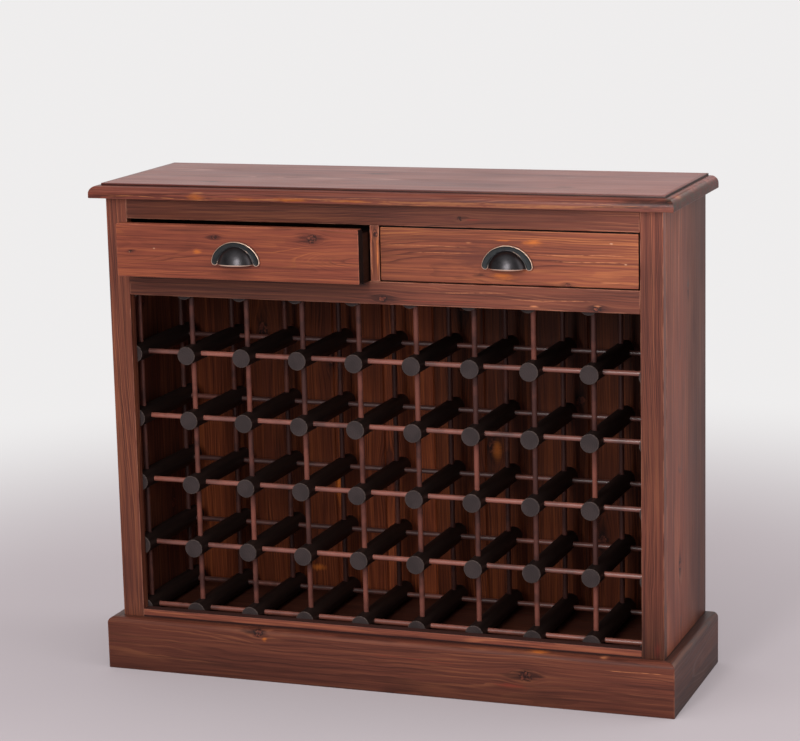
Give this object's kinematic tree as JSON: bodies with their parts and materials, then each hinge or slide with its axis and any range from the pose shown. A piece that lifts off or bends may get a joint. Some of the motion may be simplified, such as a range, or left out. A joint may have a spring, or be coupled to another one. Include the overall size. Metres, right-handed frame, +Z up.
{
  "type": "wine cabinet",
  "caption": "Low stained pine cabinet with a moulded top, a plinth, inset drawers with cup pulls and an open rack of round bars and thin rods for lying bottles.",
  "frame": {"origin": "on the floor, under the middle of the outline at rest, with the left drawer drawn out by 52 mm", "axes": "+X along the front to the right, +Y from the front to the back, +Z up"},
  "size_m": [1.1, 0.3912, 0.924],
  "materials": {
    "case_wood": "reddish mahogany stain on pine, satin varnish",
    "top_wood": "reddish mahogany stain on pine, satin varnish with a sheen",
    "drawer_wood": "warmer orange-brown stain on knotty pine, satin varnish",
    "inner_wood": "thin brown stain on pine, satin",
    "bar_wood": "dark brown stain, satin",
    "rod_wood": "reddish-brown stain, satin",
    "aged_brass": "antique bronze plating, rubbed bright on its rims",
    "screw_steel": "bright zinc plating"
  },
  "bodies": {
    "case": {"left_side_panel": "case_wood", "right_side_panel": "case_wood", "left_stile": "case_wood", "right_stile": "case_wood", "top_rail": "case_wood", "mid_rail": "case_wood", "bottom_rail": "case_wood", "center_mullion": "case_wood", "plinth_front": "case_wood", "plinth_left": "case_wood", "plinth_right": "case_wood", "plinth_back_rail": "case_wood", "top_panel": "top_wood", "back_panel": "inner_wood", "bottom_shelf": "inner_wood", "drawer_deck": "inner_wood", "drawer_divider": "inner_wood", "left_drawer_guide": "inner_wood", "right_drawer_guide": "inner_wood", "left_top_cleat": "inner_wood", "right_top_cleat": "inner_wood", "rack_column_1": "bar_wood", "rack_column_2": "bar_wood", "rack_column_3": "bar_wood", "rack_column_4": "bar_wood", "rack_column_5": "bar_wood", "rack_column_6": "bar_wood", "rack_column_7": "bar_wood", "rack_column_8": "bar_wood", "rack_column_9": "bar_wood", "rack_column_10": "bar_wood", "front_rod_row_1": "rod_wood", "front_rod_row_2": "rod_wood", "front_rod_row_3": "rod_wood", "front_rod_row_4": "rod_wood", "front_rod_row_5": "rod_wood", "front_rod_row_6": "rod_wood", "rear_rod_row_1": "rod_wood", "rear_rod_row_2": "rod_wood", "rear_rod_row_3": "rod_wood", "rear_rod_row_4": "rod_wood", "rear_rod_row_5": "rod_wood", "rear_rod_row_6": "rod_wood"},
    "left_drawer": {"left_drawer_front": "drawer_wood", "left_drawer_left_side": "inner_wood", "left_drawer_right_side": "inner_wood", "left_drawer_back": "inner_wood", "left_drawer_bottom": "inner_wood", "left_drawer_cup_pull": "aged_brass", "left_drawer_pull_screw_1": "screw_steel", "left_drawer_pull_screw_2": "screw_steel"},
    "right_drawer": {"right_drawer_front": "drawer_wood", "right_drawer_left_side": "inner_wood", "right_drawer_right_side": "inner_wood", "right_drawer_back": "inner_wood", "right_drawer_bottom": "inner_wood", "right_drawer_cup_pull": "aged_brass", "right_drawer_pull_screw_1": "screw_steel", "right_drawer_pull_screw_2": "screw_steel"}
  },
  "joints": [
    {"name": "left_drawer_slide", "type": "slide", "parent": "case", "child": "left_drawer", "axis": [0, -1, 0], "range_m": [-0.052, 0.188]},
    {"name": "right_drawer_slide", "type": "slide", "parent": "case", "child": "right_drawer", "axis": [0, -1, 0], "range_m": [0, 0.24]}
  ]
}
